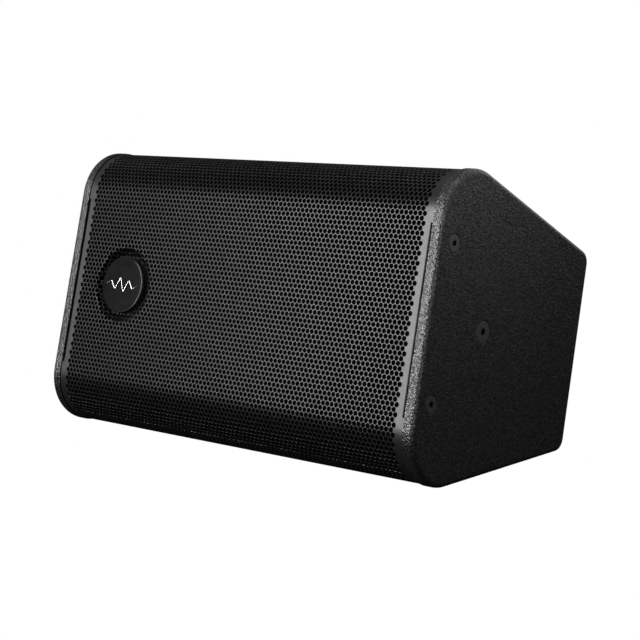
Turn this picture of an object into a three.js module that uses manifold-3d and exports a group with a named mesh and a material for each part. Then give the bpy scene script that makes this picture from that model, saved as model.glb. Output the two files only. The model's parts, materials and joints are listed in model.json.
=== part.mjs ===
// Floor monitor wedge: a two-way loudspeaker in a symmetric trapezoid plywood cabinet that
// rests on its lower sloped side, so that the baffle leans back.
// Units are millimetres. Frame: +X along the cabinet, +Y from the grille to the rear, +Z up,
// origin under the middle of the cabinet, on the floor.
// Most pieces are built in the baffle frame, a tilted group in which x is along the cabinet,
// y is depth behind the front plane and z is height along the baffle, from the mid line.
import * as THREE from "three";
import { mergeVertices } from "three/addons/utils/BufferGeometryUtils.js";
import Module from "manifold-3d";

const wasm = await Module();
wasm.setup();

// ---------------------------------------------------------------- driving dimensions
const LENGTH = 460; // along X, over the end panels
const FRONT_HEIGHT = 304; // between the sharp front corners, before they are rounded
const REAR_HEIGHT = 188; // between the sharp rear corners
const DEPTH = 242; // front plane to rear face
const FRONT_RADIUS = 48;
const REAR_RADIUS = 13;
const PLY = 12; // panel thickness
const EDGE_ROUND = 5; // round-over on the end panels' outer edges
const GAP = 0.3; // between pieces that touch

const GRILLE_INSET = 1; // grille face below the cabinet outline
const SHEET = 1.2; // grille steel thickness
const GRILLE_SIDE_GAP = 1; // grille edge to end panel
const REBATE = 2.8; // depth of the step that the grille's ends sit in
const REBATE_LENGTH = 8; // how far the step runs past the bend
const FLANGE_HALF = 83.5; // the folded side flanges stop short of the bends
const FLANGE_DEPTH = 24.5;
const BOSS_RADIUS = 6;
const FOAM = 5.2;

const BAFFLE_FRONT = 26;
const BAFFLE_PLY = 15;
const BADGE_X = -149;
const BADGE_RADIUS = 28.4;
const DIMPLE_RADIUS = 37.4;
const DIMPLE_DEPTH = 5.2;

const WOOFER_X = -106;
const HORN_X = 115;
const PORT_Z = 88;
const PORT_RADIUS = 24;
const PORT_WALL = 2;
const PORT_END = 100;

const GRILLE_SCREW = { y: 19.7, z: 69.3, head: 7.8, shank: 4, socket: 2.5, length: 21 };
const RIGGING_SCREW = { y: 81.3, z: 0, head: 10, shank: 5, socket: 3, length: 27 };
const INPUT_X = -95;
const INPUT_PLATE = { width: 120, height: 62, thickness: 2 };
const SOCKET_SPACING = 44;

const ROUND = 28; // segments of a large turned piece
const SMALL_ROUND = 16;

// ---------------------------------------------------------------- derived sizes
const TILT = Math.atan((FRONT_HEIGHT - REAR_HEIGHT) / 2 / DEPTH);
const SIN = Math.sin(TILT);
const COS = Math.cos(TILT);
const HALF = LENGTH / 2;
const INNER_HALF = HALF - PLY;
const BETWEEN_ENDS = INNER_HALF - GAP; // half length of the panels between the end panels
const BAFFLE_BACK = BAFFLE_FRONT + BAFFLE_PLY;
const ARC_CENTRE = {
  y: FRONT_RADIUS,
  z: FRONT_HEIGHT / 2 - (FRONT_RADIUS * (1 + SIN)) / COS,
};
const TANGENT_ANGLE = Math.PI / 2 - TILT; // where the front bend meets the sloped side

// ---------------------------------------------------------------- materials
const finish = (color, roughness, metalness) =>
  new THREE.MeshStandardMaterial({ color, roughness, metalness });
const coating = finish(0x151515, 0.75, 0);
const plywood = finish(0x8a6a45, 0.8, 0);
const blackSteel = finish(0x1c1c1c, 0.4, 0.6);
const screwSteel = finish(0x202020, 0.45, 0.7);
const bareSteel = finish(0x8d8f92, 0.35, 1);
const aluminium = finish(0x6d6f72, 0.45, 1);
const chrome = finish(0xd8dadc, 0.12, 1);
const plastic = finish(0x101010, 0.45, 0);
const foam = finish(0x0b0b0b, 1, 0);
const rubber = finish(0x141414, 0.8, 0);
const paper = finish(0x1a1a1a, 0.9, 0);
const ferrite = finish(0x2b2b2d, 0.6, 0.2);
const copper = finish(0xa8612f, 0.35, 1);
const board = finish(0x1f4a2c, 0.6, 0);
const wadding = finish(0xb9b7ae, 1, 0);
const cable = finish(0x161616, 0.6, 0);

// ---------------------------------------------------------------- geometry helpers
function toSolid(geometry) {
  const bare = geometry.clone();
  bare.deleteAttribute("normal");
  bare.deleteAttribute("uv");
  const merged = mergeVertices(bare, 1e-4);
  const vertProperties = new Float32Array(merged.attributes.position.array);
  const triVerts = new Uint32Array(merged.index.array);
  return new wasm.Manifold(new wasm.Mesh({ numProp: 3, vertProperties, triVerts }));
}

function toGeometry(solid) {
  const mesh = solid.getMesh();
  const points = new Float32Array(mesh.numVert * 3);
  for (let i = 0; i < mesh.numVert; i++) {
    const at = i * mesh.numProp;
    points.set(mesh.vertProperties.subarray(at, at + 3), i * 3);
  }
  const geometry = new THREE.BufferGeometry();
  geometry.setAttribute("position", new THREE.BufferAttribute(points, 3));
  geometry.setIndex(new THREE.BufferAttribute(mesh.triVerts, 1));
  return geometry;
}

const cut = (geometry, ...tools) =>
  toGeometry(tools.reduce((solid, tool) => solid.subtract(toSolid(tool)), toSolid(geometry)));

const join = (geometry, ...others) =>
  toGeometry(others.reduce((solid, other) => solid.add(toSolid(other)), toSolid(geometry)));

const moved = (geometry, x, y, z) => geometry.clone().translate(x, y, z);

const box = (x0, x1, y0, y1, z0, z1) =>
  new THREE.BoxGeometry(x1 - x0, y1 - y0, z1 - z0).translate(
    (x0 + x1) / 2,
    (y0 + y1) / 2,
    (z0 + z1) / 2,
  );

// A section drawn in (y, z) and extruded along x.
function extrudeAlongX(points, x0, x1, holes = []) {
  const shape = new THREE.Shape(points);
  shape.holes = holes.map((hole) => new THREE.Path(hole));
  const geometry = new THREE.ExtrudeGeometry(shape, { depth: x1 - x0, bevelEnabled: false });
  const axes = new THREE.Matrix4().makeBasis(
    new THREE.Vector3(0, 1, 0),
    new THREE.Vector3(0, 0, 1),
    new THREE.Vector3(1, 0, 0),
  );
  return geometry.applyMatrix4(axes).translate(x0, 0, 0);
}

// A profile of [radius, y] pairs turned about the y axis. It may start and end on the axis.
function turned(profile, segments = ROUND) {
  const closed = profile[0][0] > 0 || profile[profile.length - 1][0] > 0;
  const ring = closed ? [...profile, profile[0]] : profile;
  let area = 0;
  profile.forEach(([r, y], i) => {
    const [r1, y1] = profile[(i + 1) % profile.length];
    area += r * y1 - r1 * y;
  });
  const ordered = area > 0 ? ring : [...ring].reverse();
  return new THREE.LatheGeometry(
    ordered.map(([r, y]) => new THREE.Vector2(r, y)),
    segments,
  );
}

// The same, turned about an axis that points along +x (side 1) or -x (side -1).
const turnedAlongX = (profile, side, segments = SMALL_ROUND) =>
  turned(profile, segments).rotateZ(side > 0 ? -Math.PI / 2 : Math.PI / 2);

// A cylinder along y between y0 and y1.
const post = (radius, y0, y1, segments = ROUND) =>
  new THREE.CylinderGeometry(radius, radius, y1 - y0, segments).translate(0, (y0 + y1) / 2, 0);

// A closed skin over a stack of rings with the same number of points, with a fan on each end.
function skin(rings) {
  const count = rings[0].length;
  const middle = (ring) =>
    ring.reduce((sum, p) => sum.add(p), new THREE.Vector3()).divideScalar(count);
  const last = (rings.length - 1) * count;
  const points = [...rings.flat(), middle(rings[0]), middle(rings[rings.length - 1])];
  const faces = [];
  for (let i = 0; i < count; i++) {
    const j = (i + 1) % count;
    for (let a = 0; a < last; a += count) {
      faces.push(a + i, a + j, a + count + j, a + i, a + count + j, a + count + i);
    }
    faces.push(points.length - 2, j, i, points.length - 1, last + i, last + j);
  }
  let volume = 0;
  for (let k = 0; k < faces.length; k += 3) {
    const [a, b, c] = faces.slice(k, k + 3).map((index) => points[index]);
    volume += a.dot(b.clone().cross(c));
  }
  const geometry = new THREE.BufferGeometry().setFromPoints(points);
  geometry.setIndex(volume > 0 ? faces : faces.reverse());
  return geometry;
}

// ---------------------------------------------------------------- cabinet section
// Height of the upper sloped line at depth y, inset below the cabinet's outline.
const slopeZ = (inset, y) => FRONT_HEIGHT / 2 - (inset + y * SIN) / COS;

// Points on the upper front bend, inset below the outline, between two angles.
function frontBend(inset, from, to, steps = 8) {
  const radius = FRONT_RADIUS - inset;
  return Array.from({ length: steps + 1 }, (_, i) => {
    const angle = from + ((to - from) * i) / steps;
    return new THREE.Vector2(
      ARC_CENTRE.y + radius * Math.cos(angle),
      ARC_CENTRE.z + radius * Math.sin(angle),
    );
  });
}

// Points on the upper rear corner, from the slope round to the rear face.
function rearBend(inset, steps = 3) {
  const y = DEPTH - REAR_RADIUS;
  const z = slopeZ(REAR_RADIUS, y);
  return Array.from({ length: steps + 1 }, (_, i) => {
    const angle = TANGENT_ANGLE * (1 - i / steps);
    const radius = REAR_RADIUS - inset;
    return new THREE.Vector2(y + radius * Math.cos(angle), z + radius * Math.sin(angle));
  });
}

const mirrored = (points) => points.map((p) => new THREE.Vector2(p.x, -p.y)).reverse();

// The whole closed outline of the cabinet, inset by a given amount.
function outline(inset) {
  const upper = [...frontBend(inset, Math.PI, TANGENT_ANGLE), ...rearBend(inset)];
  return [...upper, ...mirrored(upper)];
}

// A point on the upper sloped line, a distance past the end of the front bend.
function pastBend(inset, distance) {
  const [tangent] = frontBend(inset, TANGENT_ANGLE, TANGENT_ANGLE, 1);
  return new THREE.Vector2(tangent.x + distance * COS, tangent.y - distance * SIN);
}

// ---------------------------------------------------------------- scene graph
const part = new THREE.Group();
const baffleFrame = new THREE.Group();
const depths = outline(0).map((p) => p.x * COS + p.y * SIN);
baffleFrame.rotation.x = -TILT;
baffleFrame.position.y = -(Math.min(...depths) + Math.max(...depths)) / 2;
baffleFrame.position.z = (FRONT_HEIGHT / 2) * COS;
part.add(baffleFrame);

function add(name, geometry, material, parent = baffleFrame) {
  const mesh = new THREE.Mesh(geometry, material);
  mesh.name = name;
  parent.add(mesh);
}

// ---------------------------------------------------------------- countersunk socket screws
// Depths run inwards from the panel's outer face.
function screwBody({ head, shank, socket, length }) {
  const top = 0.2;
  const land = 0.6;
  const cone = head - shank;
  const profile = [
    [0, top],
    [head, top],
    [head, top + land],
    [shank, top + land + cone],
    [shank, length],
    [0, length],
  ];
  const hexagon = post(socket / Math.cos(Math.PI / 6), top - 1, top + cone * 0.75, 6);
  return cut(turned(profile, 24), hexagon);
}

function screwHole({ head, shank }) {
  const clear = 0.4;
  const mouth = 0.9;
  const profile = [
    [0, -1],
    [head + clear, -1],
    [head + clear, mouth],
    [shank + clear, mouth + head - shank],
    [shank + clear, PLY + 2],
    [0, PLY + 2],
  ];
  return turned(profile, 24);
}

// Lays a piece that runs along +y from y = 0 onto an end panel's outer face, pointing inwards.
const intoEnd = (geometry, side, { y, z }) =>
  geometry
    .clone()
    .rotateZ(side > 0 ? Math.PI / 2 : -Math.PI / 2)
    .translate(side * HALF, y, z);

const GRILLE_SCREWS = [
  ["upper", 1],
  ["lower", -1],
].map(([place, sign]) => ({ place, at: { y: GRILLE_SCREW.y, z: sign * GRILLE_SCREW.z } }));

// ---------------------------------------------------------------- end panels and their screws
function endPanel(side) {
  const steps = 2;
  const levels = [[INNER_HALF, 0]];
  for (let i = 0; i <= steps; i++) {
    const angle = ((Math.PI / 2) * i) / steps;
    levels.push([
      HALF - EDGE_ROUND * (1 - Math.sin(angle)),
      EDGE_ROUND * (1 - Math.cos(angle)),
    ]);
  }
  const rings = levels.map(([x, inset]) =>
    outline(inset).map((p) => new THREE.Vector3(side * x, p.x, p.y)),
  );
  const holes = GRILLE_SCREWS.map(({ at }) => intoEnd(screwHole(GRILLE_SCREW), side, at));
  holes.push(intoEnd(screwHole(RIGGING_SCREW), side, RIGGING_SCREW));
  return cut(skin(rings), ...holes);
}

function riggingInsert(side) {
  const start = PLY + GAP;
  const profile = [
    [RIGGING_SCREW.shank + GAP, start],
    [14, start],
    [14, start + 3],
    [7.5, start + 3],
    [7.5, start + 18],
    [RIGGING_SCREW.shank + GAP, start + 18],
  ];
  return intoEnd(turned(profile, SMALL_ROUND), side, RIGGING_SCREW);
}

for (const [word, side] of [
  ["left", -1],
  ["right", 1],
]) {
  add(`end_panel_${word}`, endPanel(side), coating);
  for (const { place, at } of GRILLE_SCREWS) {
    add(`grille_screw_${word}_${place}`, intoEnd(screwBody(GRILLE_SCREW), side, at), screwSteel);
  }
  add(`rigging_screw_${word}`, intoEnd(screwBody(RIGGING_SCREW), side, RIGGING_SCREW), screwSteel);
  add(`rigging_insert_${word}`, riggingInsert(side), bareSteel);
}

// ---------------------------------------------------------------- panels between the ends
function slopedPanelSection() {
  const front = BAFFLE_BACK + GAP;
  const startAngle = Math.acos((front - ARC_CENTRE.y) / (FRONT_RADIUS - REBATE));
  return [
    new THREE.Vector2(front, slopeZ(PLY, front)),
    ...frontBend(REBATE, startAngle, TANGENT_ANGLE, 4),
    pastBend(REBATE, REBATE_LENGTH),
    pastBend(0, REBATE_LENGTH),
    ...rearBend(0),
    new THREE.Vector2(DEPTH, slopeZ(PLY, DEPTH)),
  ];
}

function rearPanelSection() {
  const front = DEPTH - PLY;
  const clear = PLY + GAP;
  const upper = [
    new THREE.Vector2(front, slopeZ(clear, front)),
    new THREE.Vector2(DEPTH, slopeZ(clear, DEPTH)),
  ];
  return [...upper, ...mirrored(upper)];
}

function baffleSection() {
  const angleAt = (y) => Math.acos((y - ARC_CENTRE.y) / (FRONT_RADIUS - REBATE));
  const upper = frontBend(REBATE, angleAt(BAFFLE_FRONT), angleAt(BAFFLE_BACK), 3);
  return [...upper, ...mirrored(upper)];
}

const slopedPanel = slopedPanelSection();
add("top_panel", extrudeAlongX(slopedPanel, -BETWEEN_ENDS, BETWEEN_ENDS), coating);
add("bottom_panel", extrudeAlongX(mirrored(slopedPanel), -BETWEEN_ENDS, BETWEEN_ENDS), coating);

// The rear panel has a shallow rebate for the input plate and a window for the sockets.
const plateHalf = INPUT_PLATE.width / 2;
const plateHalfHeight = INPUT_PLATE.height / 2;
const plateBack = DEPTH - INPUT_PLATE.thickness;
const PLATE_SCREW = { x: plateHalf - 7, z: plateHalfHeight - 7 };
const plateScrewPlaces = [
  [-1, 1],
  [1, 1],
  [1, -1],
  [-1, -1],
].map(([sx, sz]) => ({ x: INPUT_X + sx * PLATE_SCREW.x, z: sz * PLATE_SCREW.z }));
const rearRebate = box(
  INPUT_X - plateHalf - GAP,
  INPUT_X + plateHalf + GAP,
  plateBack - GAP,
  DEPTH + 1,
  -plateHalfHeight - GAP,
  plateHalfHeight + GAP,
);
const rearWindow = box(INPUT_X - 40, INPUT_X + 40, DEPTH - PLY - 1, DEPTH, -18, 18);
add(
  "rear_panel",
  cut(
    extrudeAlongX(rearPanelSection(), -BETWEEN_ENDS, BETWEEN_ENDS),
    rearRebate,
    rearWindow,
    ...plateScrewPlaces.map(({ x, z }) => moved(post(2, 200, 250, 8), x, 0, z)),
  ),
  coating,
);

// A ring-shaped brace across the cabinet, between the woofer and the horn.
const BRACE_X = 12;
const braceInset = PLY + GAP;
const braceSection = [
  new THREE.Vector2(BAFFLE_BACK + GAP, slopeZ(braceInset, BAFFLE_BACK + GAP)),
  new THREE.Vector2(DEPTH - PLY - GAP, slopeZ(braceInset, DEPTH - PLY - GAP)),
];
add(
  "inner_brace",
  extrudeAlongX([...braceSection, ...mirrored(braceSection)], BRACE_X, BRACE_X + PLY, [
    [
      new THREE.Vector2(75, -60),
      new THREE.Vector2(200, -50),
      new THREE.Vector2(200, 50),
      new THREE.Vector2(75, 60),
    ],
  ]),
  plywood,
);

// ---------------------------------------------------------------- woofer
const FRAME_RADIUS = 107;
const WOOFER_SCREW_CIRCLE = 102.3;
const wooferScrews = [45, 135, 225, 315].map((degrees) => {
  const angle = THREE.MathUtils.degToRad(degrees);
  return {
    x: WOOFER_X + WOOFER_SCREW_CIRCLE * Math.cos(angle),
    z: WOOFER_SCREW_CIRCLE * Math.sin(angle),
  };
});
const wooferScrewHoles = () =>
  wooferScrews.map(({ x, z }) => moved(post(2.7, 10, 45, 8), x - WOOFER_X, 0, z));
const atWoofer = (geometry) => moved(geometry, WOOFER_X, 0, 0);
const FLANGE_TOP = 20.2;
const FLOOR = 67.5; // inside face of the basket's floor

function wooferFrame() {
  const profile = [
    [FRAME_RADIUS, FLANGE_TOP],
    [FRAME_RADIUS, BAFFLE_FRONT - GAP],
    [94.5, BAFFLE_FRONT - GAP],
    [90, 42],
    [60, FLOOR - 1.5],
    [60, FLOOR + 2.5],
    [28, FLOOR + 2.5],
    [28, FLOOR],
    [56, FLOOR],
    [87, 41],
    [91.5, 25],
    [91.5, FLANGE_TOP],
  ];
  const window = box(-16, 16, 44, 64, 50, 110);
  const windows = [0, 60, 120, 180, 240, 300].map((degrees) =>
    window.clone().rotateY(THREE.MathUtils.degToRad(degrees)),
  );
  return cut(turned(profile), ...windows, ...wooferScrewHoles());
}

function wooferSurround() {
  const roll = { radius: 85.5, half: 7, top: 19.1, rise: 4.6 };
  const thick = 0.8;
  const steps = 4;
  const outer = [[97, roll.top]];
  const inner = [[97, roll.top + thick]];
  for (let i = 0; i <= steps; i++) {
    const angle = (Math.PI * i) / steps;
    const c = Math.cos(angle);
    const s = Math.sin(angle);
    outer.push([roll.radius + roll.half * c, roll.top - roll.rise * s]);
    inner.push([
      roll.radius + (roll.half - thick) * c,
      roll.top + thick - (roll.rise - 0.1) * s,
    ]);
  }
  outer.push([73, 22]);
  inner.push([73, 22 + thick]);
  return turned([...outer, ...inner.reverse()]);
}

const CONE = { rim: 78, rimY: 21, neck: 26.2, neckY: 52, wall: 1 };
const coneY = (radius) =>
  CONE.rimY + ((CONE.rim - radius) * (CONE.neckY - CONE.rimY)) / (CONE.rim - CONE.neck);

function wooferCone() {
  return turned([
    [CONE.rim, CONE.rimY],
    [CONE.rim, CONE.rimY + CONE.wall],
    [CONE.neck, CONE.neckY + CONE.wall * 1.6],
    [CONE.neck, CONE.neckY],
  ]);
}

function dustCap() {
  const radius = 33;
  const rimY = coneY(radius) - 0.6;
  const rise = 8;
  const wall = 0.8;
  const dome = Array.from({ length: 4 }, (_, i) => {
    const r = (radius * i) / 3;
    return [r, rimY - rise * (1 - (r / radius) ** 2)];
  });
  const under = dome.map(([r, y]) => [r, y + wall]).reverse();
  under[0] = [radius - wall, rimY];
  return turned([...dome, ...under]);
}

function voiceCoil() {
  return turned([
    [25.2, CONE.neckY + 0.4],
    [25.9, CONE.neckY + 0.4],
    [25.9, 80],
    [25.2, 80],
  ]);
}

function spider() {
  const wall = 0.7;
  const waves = [
    [55, 66.4],
    [50, 66.4],
    [45, 62.5],
    [38, 65],
    [32, 62.5],
    [26.3, 64],
  ];
  const under = waves.map(([r, y]) => [r, y + wall]).reverse();
  return turned([...waves, ...under]);
}

const topPlate = [
  [27, 70.3],
  [60, 70.3],
  [60, 78.3],
  [27, 78.3],
];
const magnetRing = [
  [40, 78.6],
  [65, 78.6],
  [65, 96.6],
  [40, 96.6],
];
const backPlate = [
  [0, 70.3],
  [24.2, 70.3],
  [24.2, 96.9],
  [60, 96.9],
  [57, 104.9],
  [0, 104.9],
];
const wooferGasket = [
  [97.3, FLANGE_TOP - 2.2],
  [FRAME_RADIUS, FLANGE_TOP - 2.2],
  [FRAME_RADIUS, FLANGE_TOP - GAP],
  [97.3, FLANGE_TOP - GAP],
];
add("woofer_frame", atWoofer(wooferFrame()), aluminium);
add("woofer_gasket", atWoofer(cut(turned(wooferGasket), ...wooferScrewHoles())), rubber);
add("woofer_surround", atWoofer(wooferSurround()), rubber);
add("woofer_cone", atWoofer(wooferCone()), paper);
add("woofer_dust_cap", atWoofer(dustCap()), paper);
add("woofer_voice_coil", atWoofer(voiceCoil()), copper);
add("woofer_spider", atWoofer(spider()), paper);
add("woofer_top_plate", atWoofer(turned(topPlate)), bareSteel);
add("woofer_magnet", atWoofer(turned(magnetRing)), ferrite);
add("woofer_back_plate", atWoofer(turned(backPlate)), bareSteel);

// Pan-head machine screw that enters from the front at y = top.
const panScrew = (head, shank, top, length) =>
  turned(
    [
      [0, top],
      [head * 0.75, top],
      [head, top + head * 0.35],
      [head, top + head * 0.6],
      [shank, top + head * 0.6],
      [shank, top + length],
      [0, top + length],
    ],
    12,
  );
wooferScrews.forEach(({ x, z }, i) => {
  add(`woofer_screw_${i + 1}`, moved(panScrew(4, 2.3, 15.3, 26), x, 0, z), screwSteel);
});

// ---------------------------------------------------------------- horn and compression driver
const HORN = {
  flangeX: 77,
  flangeZ: 62,
  mouthX: 60,
  mouthZ: 45,
  throat: 12.7,
  wall: 2.5,
  back: 100,
};
const HORN_FRONT = BAFFLE_FRONT - GAP - 4;
const HORN_SCREW = { x: 71, z: 56 };
const hornScrews = [
  [-1, 1],
  [1, 1],
  [1, -1],
  [-1, -1],
].map(([sx, sz]) => ({ x: HORN_X + sx * HORN_SCREW.x, z: sz * HORN_SCREW.z }));
const hornScrewHole = ({ x, z }) => moved(post(2.3, 10, 45, 8), x, 0, z);

// A ring that turns from a rounded rectangle (power 7) into a circle (power 2).
function hornRing(halfX, halfZ, power, y, count = 24) {
  return Array.from({ length: count }, (_, i) => {
    const angle = (2 * Math.PI * i) / count;
    const c = Math.cos(angle);
    const s = Math.sin(angle);
    const radius = (Math.abs(c / halfX) ** power + Math.abs(s / halfZ) ** power) ** (-1 / power);
    return new THREE.Vector3(HORN_X + radius * c, y, radius * s);
  });
}

function hornShell(wall, steps = 5) {
  return Array.from({ length: steps + 1 }, (_, i) => {
    const t = i / steps; // 0 at the mouth, 1 at the throat
    const narrowing = (1 - t) ** 1.8;
    const halfX = HORN.throat + (HORN.mouthX - HORN.throat) * narrowing + wall;
    const halfZ = HORN.throat + (HORN.mouthZ - HORN.throat) * narrowing + wall;
    const y = HORN_FRONT + (HORN.back - HORN_FRONT) * t;
    return hornRing(halfX, halfZ, 7 - 5 * t, y);
  });
}

// A square flange with a flare behind it, opened through from the mouth to the throat.
function horn() {
  const flange = box(
    HORN_X - HORN.flangeX,
    HORN_X + HORN.flangeX,
    HORN_FRONT,
    BAFFLE_FRONT - GAP,
    -HORN.flangeZ,
    HORN.flangeZ,
  );
  const passage = hornShell(0);
  const before = passage[0].map((p) => p.clone().setY(p.y - 1));
  const after = passage[passage.length - 1].map((p) => p.clone().setY(p.y + 1));
  return cut(
    join(flange, skin(hornShell(HORN.wall))),
    skin([before, ...passage, after]),
    ...hornScrews.map(hornScrewHole),
  );
}

add("horn", horn(), plastic);
hornScrews.forEach(({ x, z }, i) => {
  add(`horn_screw_${i + 1}`, moved(panScrew(3.5, 2, HORN_FRONT - 2.4, 22), x, 0, z), screwSteel);
});

const atHorn = (geometry) => moved(geometry, HORN_X, 0, 0);
const driverFront = HORN.back + GAP;
const driverBody = [
  [HORN.throat, driverFront],
  [46, driverFront],
  [48, driverFront + 2],
  [48, driverFront + 38],
  [32, driverFront + 38],
  [32, driverFront + 20],
  [24, driverFront + 18],
  [HORN.throat, driverFront + 8],
];
const driverCap = [
  [0, driverFront + 38 + GAP],
  [42, driverFront + 38 + GAP],
  [40, driverFront + 46],
  [0, driverFront + 48],
];
const diaphragm = [
  [0, driverFront + 21.4],
  [8, driverFront + 22],
  [16, driverFront + 24],
  [22, driverFront + 27.4],
  [30, driverFront + 27.4],
  [30, driverFront + 28],
  [21.6, driverFront + 28],
  [15.6, driverFront + 24.6],
  [8, driverFront + 22.6],
  [0, driverFront + 22],
];
add("driver_body", atHorn(turned(driverBody)), ferrite);
add("driver_rear_cap", atHorn(turned(driverCap)), aluminium);
add("hf_diaphragm", atHorn(turned(diaphragm)), aluminium);

// ---------------------------------------------------------------- reflex ports
const portProfile = [
  [PORT_RADIUS - PORT_WALL, BAFFLE_FRONT - 2],
  [PORT_RADIUS + 1.5, BAFFLE_FRONT - 2],
  [PORT_RADIUS + 1.5, BAFFLE_FRONT - GAP],
  [PORT_RADIUS, BAFFLE_FRONT - GAP],
  [PORT_RADIUS, PORT_END],
  [PORT_RADIUS - PORT_WALL, PORT_END],
];
for (const [word, sign] of [
  ["upper", 1],
  ["lower", -1],
]) {
  add(`port_tube_${word}`, moved(turned(portProfile), HORN_X, 0, sign * PORT_Z), plastic);
}

// ---------------------------------------------------------------- baffle
add(
  "baffle",
  cut(
    extrudeAlongX(baffleSection(), -BETWEEN_ENDS, BETWEEN_ENDS),
    moved(post(96, 20, 45), WOOFER_X, 0, 0),
    ...wooferScrews.map(({ x, z }) => moved(post(2.7, 20, 45, 8), x, 0, z)),
    ...hornScrews.map(hornScrewHole),
    moved(box(-63.5, 63.5, 20, 45, -48.5, 48.5), HORN_X, 0, 0),
    ...[1, -1].map((sign) => moved(post(PORT_RADIUS + GAP, 20, 45), HORN_X, 0, sign * PORT_Z)),
  ),
  coating,
);

// ---------------------------------------------------------------- grille and foam
// A sheet that follows the front of the cabinet between two insets, past both bends.
function wrappedSection(outerInset, innerInset, pastEnd) {
  const side = (inset) => [
    ...frontBend(inset, Math.PI, TANGENT_ANGLE),
    pastBend(inset, pastEnd),
  ];
  const outer = side(outerInset);
  const inner = side(innerInset);
  return [
    ...mirrored(outer),
    ...outer,
    ...[...inner].reverse(),
    ...inner.map((p) => new THREE.Vector2(p.x, -p.y)),
  ];
}

const grilleHalf = INNER_HALF - GRILLE_SIDE_GAP;
const grilleBack = GRILLE_INSET + SHEET;

const DISH_FLOOR = DIMPLE_RADIUS - 7.4;

// The dish pressed into the sheet, as the metal behind it and the hollow in front of it.
const dishMetal = turned([
  [0, GRILLE_INSET + SHEET / 2],
  [DIMPLE_RADIUS - 0.2, GRILLE_INSET + SHEET / 2],
  [DISH_FLOOR + 0.4, GRILLE_INSET + DIMPLE_DEPTH + SHEET],
  [0, GRILLE_INSET + DIMPLE_DEPTH + SHEET],
]);
const dishHollow = turned([
  [0, GRILLE_INSET - 1],
  [DIMPLE_RADIUS, GRILLE_INSET - 1],
  [DIMPLE_RADIUS, GRILLE_INSET],
  [DISH_FLOOR, GRILLE_INSET + DIMPLE_DEPTH],
  [0, GRILLE_INSET + DIMPLE_DEPTH],
]);

function sideFlange(side) {
  const outer = side * (grilleHalf - 0.1);
  const inner = side * (grilleHalf - SHEET);
  const plate = box(
    Math.min(outer, inner),
    Math.max(outer, inner),
    GRILLE_INSET + SHEET / 2,
    GRILLE_INSET + FLANGE_DEPTH,
    -FLANGE_HALF,
    FLANGE_HALF,
  );
  const boss = [
    [0, PLY + GRILLE_SIDE_GAP + 0.2],
    [BOSS_RADIUS, PLY + GRILLE_SIDE_GAP + 0.2],
    [BOSS_RADIUS, PLY + GRILLE_SIDE_GAP + 9],
    [0, PLY + GRILLE_SIDE_GAP + 9],
  ];
  const bosses = GRILLE_SCREWS.map(({ at }) => intoEnd(turned(boss, SMALL_ROUND), side, at));
  const threads = GRILLE_SCREWS.map(({ at }) =>
    intoEnd(post(GRILLE_SCREW.shank + GAP, 0, 40, SMALL_ROUND), side, at),
  );
  return cut(join(plate, ...bosses), ...threads);
}

function grille() {
  const section = wrappedSection(GRILLE_INSET, grilleBack, REBATE_LENGTH - 0.5);
  const sheet = extrudeAlongX(section, -grilleHalf, grilleHalf);
  const whole = join(sheet, moved(dishMetal, BADGE_X, 0, 0), sideFlange(-1), sideFlange(1));
  return cut(
    whole,
    moved(dishHollow, BADGE_X, 0, 0),
    moved(post(3.6, 0, 12, SMALL_ROUND), BADGE_X, 0, 0),
  );
}

// The foam lines the flat and the start of each bend, and stops just short of the baffle.
function grilleFoam() {
  const near = grilleBack + 0.4;
  const far = near + FOAM;
  const stop = BAFFLE_FRONT - 1.5;
  const stopAngle = (inset) => Math.acos((stop - ARC_CENTRE.y) / (FRONT_RADIUS - inset));
  const outer = frontBend(near, Math.PI, stopAngle(near), 5);
  const inner = frontBend(far, Math.PI, stopAngle(far), 5);
  const section = [
    ...mirrored(outer),
    ...outer,
    ...[...inner].reverse(),
    ...inner.map((p) => new THREE.Vector2(p.x, -p.y)),
  ];
  const half = grilleHalf - SHEET - 0.5;
  return cut(
    extrudeAlongX(section, -half, half),
    moved(post(DIMPLE_RADIUS + 1.6, -5, 20), BADGE_X, 0, 0),
  );
}

add("grille", grille(), blackSteel);
add("grille_foam", grilleFoam(), foam);

// ---------------------------------------------------------------- badge that turns in the dimple
const badgeFloor = GRILLE_INSET + DIMPLE_DEPTH;
const STUD = 3;
const badgeDisc = [
  [0, 1],
  [24, 1],
  [26.8, 0.6],
  [BADGE_RADIUS, 1.6],
  [BADGE_RADIUS, badgeFloor - 1.2],
  [STUD, badgeFloor - 1.2],
  [STUD, badgeFloor + 6.6],
  [0, badgeFloor + 6.6],
];
const badgeWasher = [
  [3.6, badgeFloor - 0.9],
  [9, badgeFloor - 0.9],
  [9, badgeFloor - GAP],
  [3.6, badgeFloor - GAP],
];

// A plain waveform line: straight strokes with round joints, one raised piece.
function waveEmblem() {
  const peaks = [0, 2.2, -4, 6.5, -6.5, 4, -2.2, 0];
  const step = 5;
  const front = 0;
  const back = 1 - GAP;
  const halfWidth = 0.7;
  const points = peaks.map((z, i) => ({ x: (i - (peaks.length - 1) / 2) * step, z }));
  const joints = points.map(({ x, z }) => moved(post(halfWidth, front, back, 10), x, 0, z));
  const strokes = points.slice(1).map((end, i) => {
    const start = points[i];
    const length = Math.hypot(end.x - start.x, end.z - start.z);
    const stroke = box(-length / 2, length / 2, front, back, -halfWidth, halfWidth);
    stroke.rotateY(-Math.atan2(end.z - start.z, end.x - start.x));
    return stroke.translate((start.x + end.x) / 2, 0, (start.z + end.z) / 2);
  });
  return join(joints[0], ...joints.slice(1), ...strokes);
}

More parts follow.
